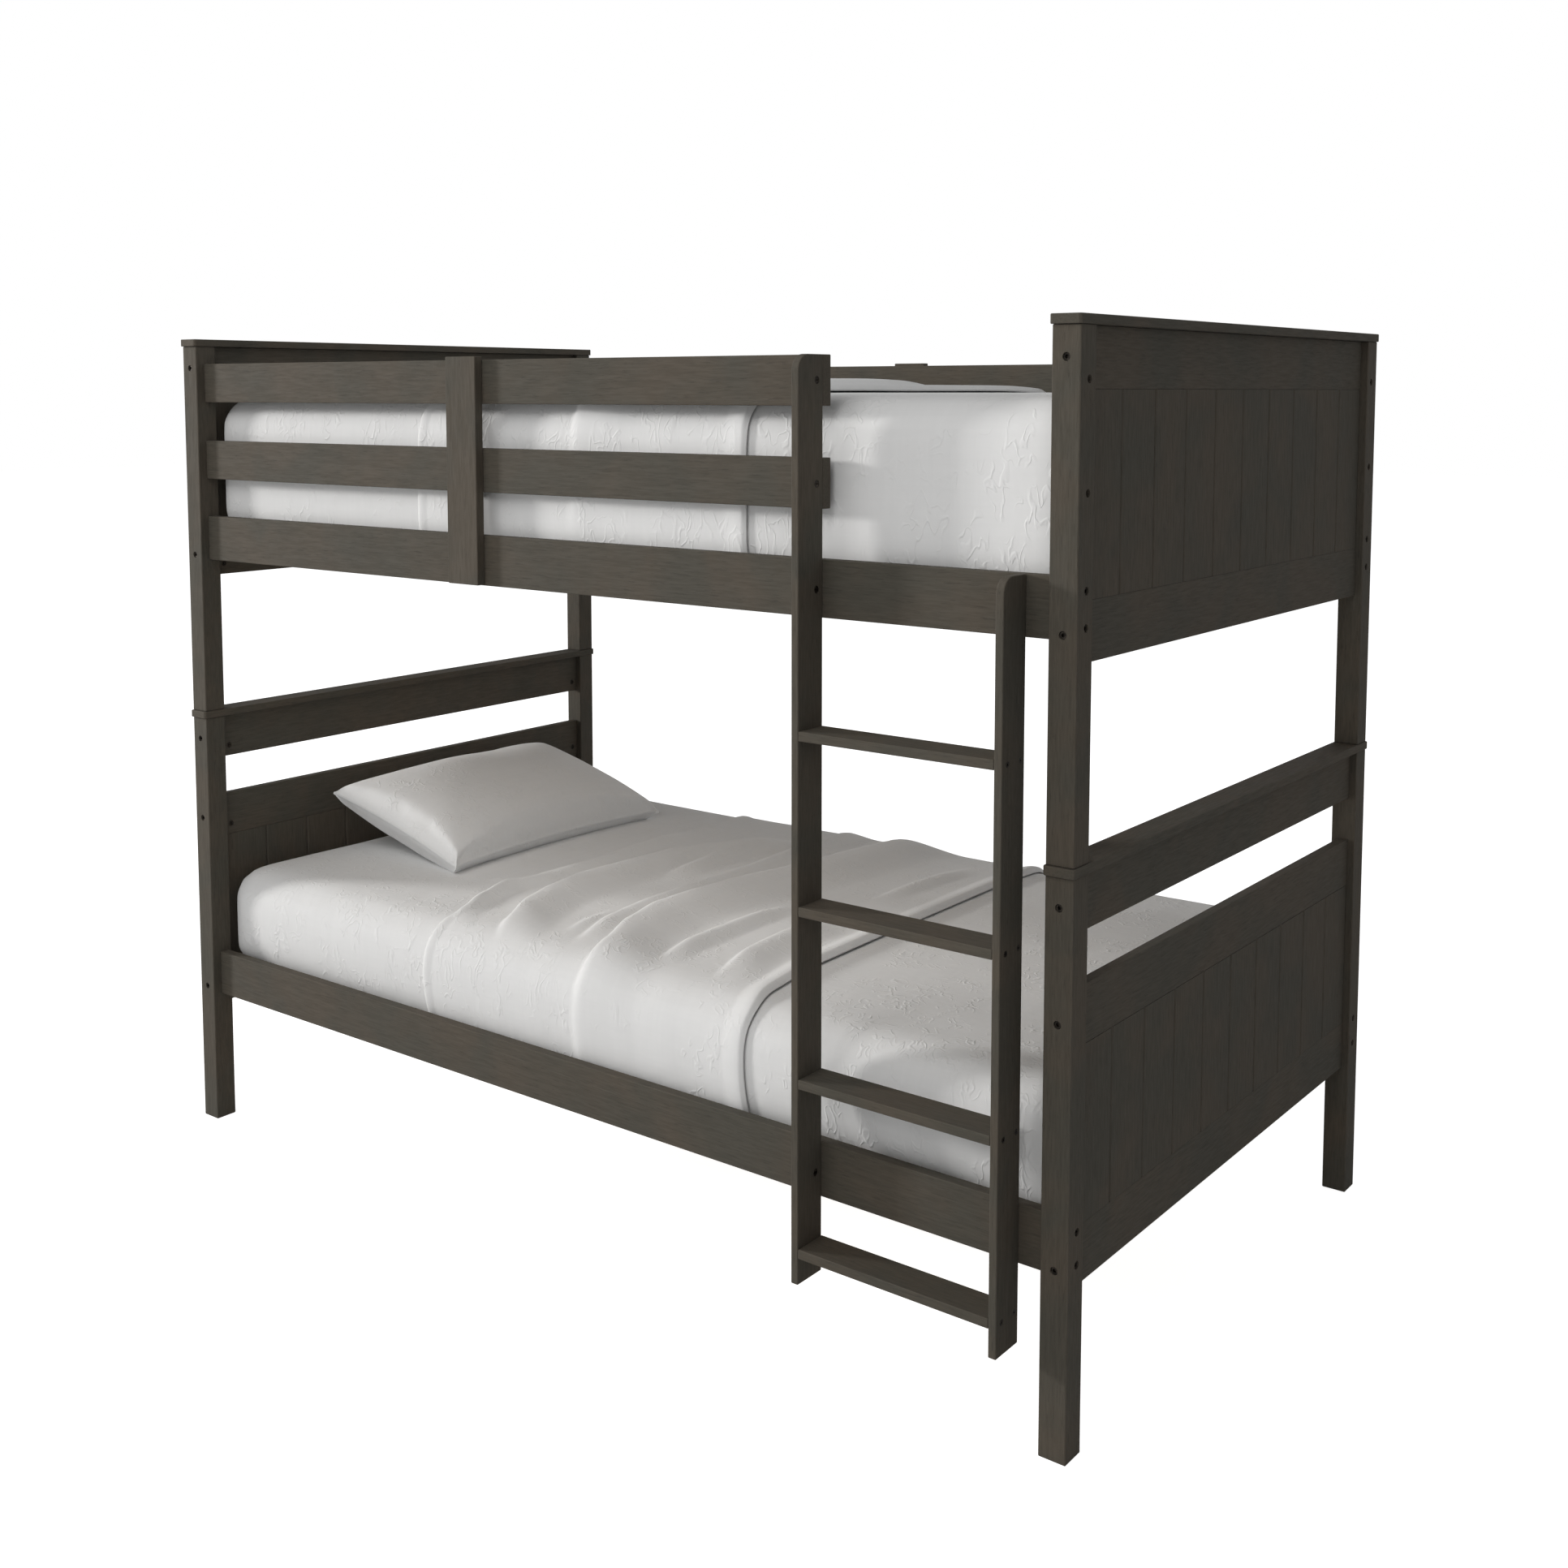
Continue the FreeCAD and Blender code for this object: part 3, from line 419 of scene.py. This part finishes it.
def cotton(name, light, shade, creasing):
    """Off-white woven cotton with slubs and the small creases of a sheet that has been folded."""
    material = new_material(name)
    tree = material.node_tree
    coordinates = tree.nodes.new("ShaderNodeTexCoord")
    weave = place_group(tree, weave_tree, coordinates.outputs["Object"])
    creases = place_group(tree, crease_tree, coordinates.outputs["Object"])
    colour = blend_colours(tree, remap(tree, weave.outputs["Slub"], 0.12, 0.40), shade, light)
    surface = add_node(tree, "ShaderNodeBsdfPrincipled", Sheen_Weight=0.08, Sheen_Roughness=0.5)
    tree.links.new(colour, surface.inputs["Base Color"])
    tree.links.new(remap(tree, weave.outputs["Thread"], 0.7, 1.3, 0.95, 0.85), surface.inputs["Roughness"])
    creased = bump(tree, creases.outputs["Height"], creasing, 0.006)
    tree.links.new(bump(tree, weave.outputs["Thread"], 0.12, 0.0004, creased), surface.inputs["Normal"])
    tree.links.new(surface.outputs[0], tree.nodes["Material Output"].inputs[0])
    return material


bright_thread = (0.80, 0.80, 0.797, 1.0)
dull_thread = (0.785, 0.785, 0.782, 1.0)
fitted_cotton = cotton("fitted_sheet_cotton", bright_thread, dull_thread, 0.34)


def keep_only(thing):
    """Selects one object and makes it the active one."""
    bpy.ops.object.select_all(action="DESELECT")
    thing.select_set(True)
    bpy.context.view_layer.objects.active = thing


def apply_modifier(thing, kind, **settings):
    """Adds a modifier with its settings and applies it."""
    keep_only(thing)
    modifier = thing.modifiers.new(kind.lower(), kind)
    for name, value in settings.items():
        setattr(modifier, name, value)
    bpy.ops.object.modifier_apply(modifier=modifier.name)


def plump(pad, pressure, reach, frames):
    """Blows a closed cover up like stuffing does, and keeps each point within reach of its start."""
    start = [vertex.co.copy() for vertex in pad.data.vertices]
    cloth = pad.modifiers.new("cover", "CLOTH")
    cloth.settings.use_pressure = True
    cloth.settings.uniform_pressure_force = pressure
    cloth.settings.effector_weights.gravity = 0.0
    cloth.point_cache.frame_end = frames
    for step in range(1, frames + 1):
        bpy.context.scene.frame_set(step)
    keep_only(pad)
    bpy.ops.object.modifier_apply(modifier="cover")
    bpy.context.scene.frame_set(1)
    for vertex, was in zip(pad.data.vertices, start):
        moved = vertex.co - was
        if moved.length > reach:
            vertex.co = was + moved * (reach / moved.length)


def smooth_step(low, high, value):
    """Goes from 0 to 1 between two values, with level ends."""
    share = min(max((value - low) / (high - low), 0.0), 1.0)
    return share * share * (3.0 - 2.0 * share)


corner_round, top_round, bottom_round = 0.030, 0.062, 0.05
swell, most_swell = 0.002, 0.006
side_crown = {"lower": 0.011, "upper": 0.0}


def bevel_round(pad, chosen, radius, segments):
    """Rounds the edges of the pad in edit mode that a test chooses."""
    bpy.ops.mesh.select_all(action="DESELECT")
    for edge in bmesh.from_edit_mesh(pad.data).edges:
        edge.select = chosen(edge)
    bmesh.update_edit_mesh(pad.data)
    bpy.ops.mesh.bevel(offset=radius, segments=segments, profile=0.5)


def on_rim(edge, height):
    """Whether an edge goes round the block at this height."""
    if any(abs(vertex.co.z - height) > 0.001 for vertex in edge.verts) or len(edge.link_faces) != 2:
        return False
    return any(abs(face.normal.z) < 0.5 for face in edge.link_faces)


def mattress(level):
    """A rounded foam block in its fitted sheet; the lower one is crowned over its side rails."""
    node = level + "_mattress"
    low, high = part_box(node)
    size = high - low
    bpy.ops.mesh.primitive_cube_add(size=1.0, location=(low + high) / 2.0)
    pad = bpy.context.object
    pad.name = level + "_mattress_cover"
    pad.scale = (size.x - 2 * swell, size.y - 2 * swell, size.z - swell)
    pad.location.z -= swell / 2.0
    bpy.ops.object.transform_apply(location=True, rotation=True, scale=True)
    bpy.ops.object.mode_set(mode="EDIT")
    bpy.ops.mesh.select_mode(type="EDGE")
    top, foot = high.z - swell, low.z
    bevel_round(pad, lambda edge: abs(edge.verts[0].co.z - edge.verts[1].co.z) > 0.1, corner_round, 6)
    bevel_round(pad, lambda edge: on_rim(edge, top), top_round, 9)
    bevel_round(pad, lambda edge: on_rim(edge, foot), bottom_round, 6)
    bpy.ops.object.mode_set(mode="OBJECT")
    apply_modifier(pad, "REMESH", mode="VOXEL", voxel_size=0.016, use_smooth_shade=True)
    plump(pad, 5.0, most_swell, 20)
    middle_y = (low.y + high.y) / 2.0
    crown_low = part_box("front_" + level + "_side_rail")[1].z
    post_face = high.x - 0.030
    for vertex in pad.data.vertices:
        x, y, z = vertex.co
        share = min(max((z - crown_low) / (high.z - crown_low), 0.0), 1.0)
        between_posts = smooth_step(post_face, post_face - 0.03, abs(x))
        crown = side_crown[level] * math.sin(math.pi * share) * between_posts
        if abs(y - middle_y) > 0.3:
            vertex.co.y += math.copysign(crown, y - middle_y)
        vertex.co.z = max(z, low.z)
    apply_modifier(pad, "SMOOTH", factor=0.5, iterations=2)
    apply_modifier(pad, "SUBSURF", levels=1, render_levels=1)
    pad.data.materials.append(fitted_cotton)
    bpy.ops.object.shade_smooth()
    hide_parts(node)
    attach(pad, level + "_bedding")
    return pad


covers = {level: mattress(level) for level in ("lower", "upper")}


# ------------------------------------------------------------------ top sheets
# Across the middle of each mattress lies a folded cotton sheet, tucked down behind both side rails;
# its outer layer is the one made.  It has slipped towards the foot, which leaves long soft wrinkles.
top_cotton = cotton("top_sheet_cotton", bright_thread, dull_thread, 0.30)

# Each wrinkle runs across the bed: its crest's places (across, along) in metres from the bed's middle,
# its height, and how wide its steep head side and its long foot side are.
wrinkles = [
    {"crest": [(-0.49, -0.318), (-0.43, -0.346), (-0.36, -0.374), (-0.29, -0.382), (-0.22, -0.364),
               (-0.10, -0.360), (0.03, -0.368), (0.25, -0.376)],
     "height": 0.010, "steep": 0.016, "long": 0.055},
    {"crest": [(-0.50, -0.188), (-0.44, -0.214), (-0.36, -0.250), (-0.28, -0.272), (-0.18, -0.288),
               (-0.06, -0.280), (0.06, -0.268), (0.14, -0.240), (0.22, -0.196), (0.34, -0.140)],
     "height": 0.016, "steep": 0.022, "long": 0.105},
    {"crest": [(-0.05, -0.182), (0.06, -0.184), (0.16, -0.190), (0.30, -0.186)],
     "height": 0.009, "steep": 0.020, "long": 0.060},
    {"crest": [(-0.46, -0.030), (-0.33, -0.066), (-0.22, -0.078), (0.10, -0.080), (0.32, -0.088),
               (0.52, -0.090)],
     "height": 0.010, "steep": 0.018, "long": 0.070},
    {"crest": [(-0.75, 0.034), (-0.60, 0.044), (-0.52, 0.048), (-0.45, 0.038), (-0.35, -0.004),
               (-0.25, -0.026), (-0.14, -0.024), (-0.02, -0.010), (0.10, 0.016), (0.22, 0.036),
               (0.37, 0.054), (0.52, 0.082)],
     "height": 0.019, "steep": 0.024, "long": 0.135},
    {"crest": [(-0.45, 0.155), (-0.35, 0.140), (-0.20, 0.138), (-0.06, 0.142)],
     "height": 0.009, "steep": 0.016, "long": 0.050},
    {"crest": [(-0.45, 0.290), (-0.33, 0.262), (-0.22, 0.254), (-0.08, 0.268)],
     "height": 0.011, "steep": 0.020, "long": 0.075},
    {"crest": [(0.06, 0.252), (0.20, 0.256), (0.37, 0.272)],
     "height": 0.007, "steep": 0.020, "long": 0.045},
    {"crest": [(-0.43, -0.085), (-0.36, -0.098), (-0.28, -0.100)],
     "height": 0.006, "steep": 0.014, "long": 0.035},
]


sheet_head_edge = [(-0.60, -0.360), (-0.50, -0.350), (-0.44, -0.342), (-0.38, -0.362), (-0.25, -0.402),
                   (-0.20, -0.388), (0.25, -0.386), (0.40, -0.392), (0.50, -0.402)]
sheet_foot_edge = [(-0.60, 0.404), (-0.50, 0.406), (-0.44, 0.399), (-0.30, 0.386), (0.0, 0.382),
                   (0.50, 0.380)]
hem_height, head_fold_height, cloth_thickness = 0.008, 0.002, 0.0035
fade, wrinkle_scale = 0.11, 1.2
round_over = 0.07


def crest_line(points, across):
    """A line's place along the bed, softly joined between its given places."""
    for (a, x_a), (b, x_b) in zip(points, points[1:]):
        if a <= across <= b:
            step = x_b - x_a
            return x_a + step * smooth_step(a, b, across) * 0.4 + step * (across - a) / (b - a) * 0.6
    return points[0][1] if across < points[0][0] else points[-1][1]


def wrinkle_height(along, across):
    """How far the wrinkles lift the sheet off the mattress at a place."""
    total = 0.0
    for wrinkle in wrinkles:
        first, last = wrinkle["crest"][0][0], wrinkle["crest"][-1][0]
        ends = smooth_step(first - 0.02, first + fade, across)
        ends *= smooth_step(-last - 0.02, -last + fade, -across)
        if ends <= 0.0:
            continue
        away = along - crest_line(wrinkle["crest"], across)
        if away < 0.0:
            side = smooth_step(-wrinkle["steep"], 0.0, away)
        else:
            side = 1.0 - smooth_step(0.0, wrinkle["long"], away)
        own = wrinkle["height"] * ends * side
        total = max(total, own) + 0.25 * min(total, own)
    return wrinkle_scale * total


def top_sheet(level):
    """The sheet's outer layer, laid over its mattress and lifted by its wrinkles and hem."""
    node = level + "_top_sheet"
    cover = covers[level]
    low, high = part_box(node)
    middle_y = (low.y + high.y) / 2.0
    steps_along, steps_across = 190, 230
    half = (high.y - low.y) / 2.0
    reach = half + (high.z - low.z) - 0.030
    bpy.ops.mesh.primitive_grid_add(x_subdivisions=steps_along, y_subdivisions=steps_across, size=1.0)
    cloth = bpy.context.object
    cloth.name = level + "_top_sheet_cloth"
    arc = round_over * math.pi / 2.0
    where = []
    for vertex in cloth.data.vertices:
        across = vertex.co.y * 2.0 * reach
        share = vertex.co.x + 0.5
        share -= 0.6 * math.sin(2.0 * math.pi * share) / (2.0 * math.pi)
        head_edge = crest_line(sheet_head_edge, across)
        foot_edge = crest_line(sheet_foot_edge, across)
        along = head_edge + (foot_edge - head_edge) * share
        where.append((along, across, foot_edge - along, along - head_edge))
        side = 1.0 if across > 0 else -1.0
        past = max(abs(across) - (half - round_over), 0.0)
        turn = min(past / arc, 1.0) * math.pi / 2.0
        out = min(abs(across), half - round_over) + round_over * math.sin(turn)
        down = round_over * (1.0 - math.cos(turn)) + max(past - arc, 0.0)
        vertex.co = (along, middle_y + side * out, high.z - down)
    apply_modifier(cloth, "SHRINKWRAP", target=cover, wrap_method="NEAREST_SURFACEPOINT",
                   wrap_mode="OUTSIDE_SURFACE", offset=0.0015)
    apply_modifier(cloth, "SMOOTH", factor=0.5, iterations=4)
    directions = [vertex.normal.copy() for vertex in cloth.data.vertices]
    for vertex, outwards, (along, across, to_foot, to_head) in zip(cloth.data.vertices, directions, where):
        past_edge = smooth_step(half - 0.08, half + 0.06, abs(across))
        lift = wrinkle_height(along, across) * (1.0 - 0.8 * past_edge)
        lift += 0.0012 * noise.noise(Vector((along * 12.0, across * 5.0, 1.0))) + 0.0008
        hem = smooth_step(0.050, 0.012, to_foot) * smooth_step(-0.001, 0.009, to_foot)
        lift += hem_height * hem * (1.0 - 0.6 * past_edge)
        lift += head_fold_height * smooth_step(0.026, 0.008, to_head) * smooth_step(-0.001, 0.006, to_head)
        vertex.co += outwards * max(lift, 0.0002)
    cloth.data.update()
    apply_modifier(cloth, "SOLIDIFY", thickness=cloth_thickness, offset=1.0)
    cloth.data.materials.append(top_cotton)
    bpy.ops.object.shade_smooth()
    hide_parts(node)
    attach(cloth, level + "_bedding")
    return cloth


for level in ("lower", "upper"):
    top_sheet(level)

# ------------------------------------------------------------------ pillow
# A soft fibre-filled pillow in an off-white cotton case lies propped at the head of the lower bunk.
# The case is two panels sewn round their edges, so it swells in the middle and keeps pointed corners.
pillow_cotton = cotton("pillowcase_cotton", bright_thread, dull_thread, 0.34)
pillow_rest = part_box("pillow")[0].z + 0.003
half_width, half_length, half_thick = 0.203, 0.316, 0.072
pillow_middle, pillow_tilt = (-0.7185, 0.0323, 0.5945), math.radians(15.0)
bpy.ops.mesh.primitive_grid_add(x_subdivisions=52, y_subdivisions=76, size=2.0)
pillow = bpy.context.object
pillow.name = "pillow_in_case"
apply_modifier(pillow, "SOLIDIFY", thickness=0.004, offset=0.0)
for vertex in pillow.data.vertices:
    face = 1.0 if vertex.co.z > 0.0 else -1.0
    u = math.sin(max(min(vertex.co.x, 1.0), -1.0) * math.pi / 2.0)
    v = math.sin(max(min(vertex.co.y, 1.0), -1.0) * math.pi / 2.0)
    full = math.sqrt(max(1.0 - abs(u / 0.985) ** 2.2, 0.0) * max(1.0 - abs(v / 0.99) ** 2.2, 0.0))
    x = half_width * u * (1.0 - 0.10 * (1.0 - v * v))
    y = half_length * v * (1.0 - 0.045 * (1.0 - u * u))
    dent = 0.006 * noise.noise(Vector((u * 1.6, v * 2.2, face)))
    vertex.co = (x, y, face * (0.0026 + (half_thick + dent) * full))
pillow.data.update()
plump(pillow, 3.0, 0.010, 12)
apply_modifier(pillow, "SMOOTH", factor=0.5, iterations=2)
apply_modifier(pillow, "SUBSURF", levels=1, render_levels=1)
pillow.data.transform(Matrix.Translation(pillow_middle) @ Matrix.Rotation(pillow_tilt, 4, "Y"))
for vertex in pillow.data.vertices:
    vertex.co.z = max(vertex.co.z, pillow_rest)
pillow.data.materials.append(pillow_cotton)
keep_only(pillow)
bpy.ops.object.shade_smooth()
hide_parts("pillow")
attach(pillow, "pillow_body")
